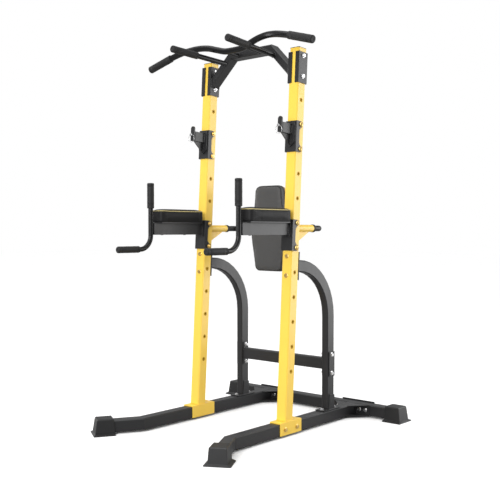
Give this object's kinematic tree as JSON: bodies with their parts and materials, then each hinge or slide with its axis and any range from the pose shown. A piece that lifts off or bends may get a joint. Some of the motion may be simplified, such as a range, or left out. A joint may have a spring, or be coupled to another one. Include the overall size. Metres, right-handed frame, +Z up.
{
  "type": "power tower",
  "caption": "Free-standing power tower: bent pull-up bar and straight handles on top, padded dip arms, backrest, sliding bar hooks and a wide floor base.",
  "frame": {"origin": "centre of the footprint, on the floor", "axes": "+Z up, +Y towards the back, +X to the right seen from the front"},
  "size_m": [1.24, 1.3405, 1.9914],
  "materials": {
    "yellow_coat": "semi-gloss powder coat",
    "black_coat": "fine-textured black powder coat",
    "foam": "closed-cell foam sleeve",
    "plastic": "moulded, slightly textured",
    "leatherette": "grained vinyl over foam",
    "plywood": "unpainted plywood",
    "zinc": "bright zinc plate",
    "golden_zinc": "yellow zinc plate on steel"
  },
  "bodies": {
    "root": {"bar_grip_left": "foam", "bar_grip_right": "foam", "boot_front_left": "plastic", "boot_front_right": "plastic", "boot_rear_left": "plastic", "boot_rear_right": "plastic", "brace_crossbar": "black_coat", "crossbar_plate_left": "black_coat", "crossbar_plate_right": "black_coat", "frame_clamp_left": "black_coat", "frame_clamp_right": "black_coat", "neutral_bar_left": "black_coat", "neutral_bar_right": "black_coat", "neutral_grip_left": "foam", "neutral_grip_right": "foam", "pull_up_bar": "black_coat", "pull_up_frame": "black_coat", "rear_brace_left": "black_coat", "rear_brace_right": "black_coat", "rear_plate_left": "black_coat", "rear_plate_right": "black_coat", "rear_rail": "black_coat", "side_rail_left": "black_coat", "side_rail_right": "black_coat", "upright_cap_left": "plastic", "upright_cap_right": "plastic", "upright_lower_left": "yellow_coat", "upright_lower_right": "yellow_coat", "upright_splice_left": "black_coat", "upright_splice_right": "black_coat", "upright_upper_left": "yellow_coat", "upright_upper_right": "yellow_coat"},
    "hook_left": {"bar_hook_left": "black_coat", "hook_bolt_left_lower": "golden_zinc", "hook_bolt_left_upper": "golden_zinc"},
    "pin_left": {"hook_pin_left": "zinc"},
    "ring_left": {"hook_ring_left": "zinc"},
    "arm_left": {"dip_arm_left": "black_coat", "dip_handle_left": "black_coat", "dip_grip_left": "foam", "lower_grip_left": "foam", "arm_pad_left": "leatherette", "arm_bolt_left_lower": "golden_zinc", "arm_bolt_left_upper": "golden_zinc"},
    "hook_right": {"bar_hook_right": "black_coat", "hook_bolt_right_lower": "golden_zinc", "hook_bolt_right_upper": "golden_zinc"},
    "pin_right": {"hook_pin_right": "zinc"},
    "ring_right": {"hook_ring_right": "zinc"},
    "arm_right": {"dip_arm_right": "black_coat", "dip_handle_right": "black_coat", "dip_grip_right": "foam", "lower_grip_right": "foam", "arm_pad_right": "leatherette", "arm_bolt_right_lower": "golden_zinc", "arm_bolt_right_upper": "golden_zinc"},
    "backrest": {"backrest_frame": "black_coat", "backrest_board": "plywood", "back_pad": "leatherette"}
  },
  "joints": [
    {"name": "hook_left_height", "type": "slide", "parent": "root", "child": "hook_left", "axis": [0, 0.0586, 0.9983], "range_m": [-0.1227, 0.1227]},
    {"name": "pin_left_pull", "type": "slide", "parent": "hook_left", "child": "pin_left", "axis": [0, -0.9983, 0.0586], "range_m": [0, 0.03]},
    {"name": "ring_left_swing", "type": "hinge", "parent": "pin_left", "child": "ring_left", "pos_m": [-0.3015, -0.06554, 1.53126], "axis": [-1, 0, 0], "range_deg": [0, 90]},
    {"name": "arm_left_height", "type": "slide", "parent": "root", "child": "arm_left", "axis": [0, 0.0586, 0.9983], "range_m": [0, 0.1227]},
    {"name": "hook_right_height", "type": "slide", "parent": "root", "child": "hook_right", "axis": [0, 0.0586, 0.9983], "range_m": [-0.1227, 0.1227]},
    {"name": "pin_right_pull", "type": "slide", "parent": "hook_right", "child": "pin_right", "axis": [0, -0.9983, 0.0586], "range_m": [0, 0.03]},
    {"name": "ring_right_swing", "type": "hinge", "parent": "pin_right", "child": "ring_right", "pos_m": [0.3015, -0.06554, 1.53126], "axis": [-1, 0, 0], "range_deg": [0, 90]},
    {"name": "arm_right_height", "type": "slide", "parent": "root", "child": "arm_right", "axis": [0, 0.0586, 0.9983], "range_m": [0, 0.1227]},
    {"name": "backrest_depth", "type": "slide", "parent": "root", "child": "backrest", "axis": [0, 1, 0], "range_m": [-0.02, 0.05]}
  ]
}
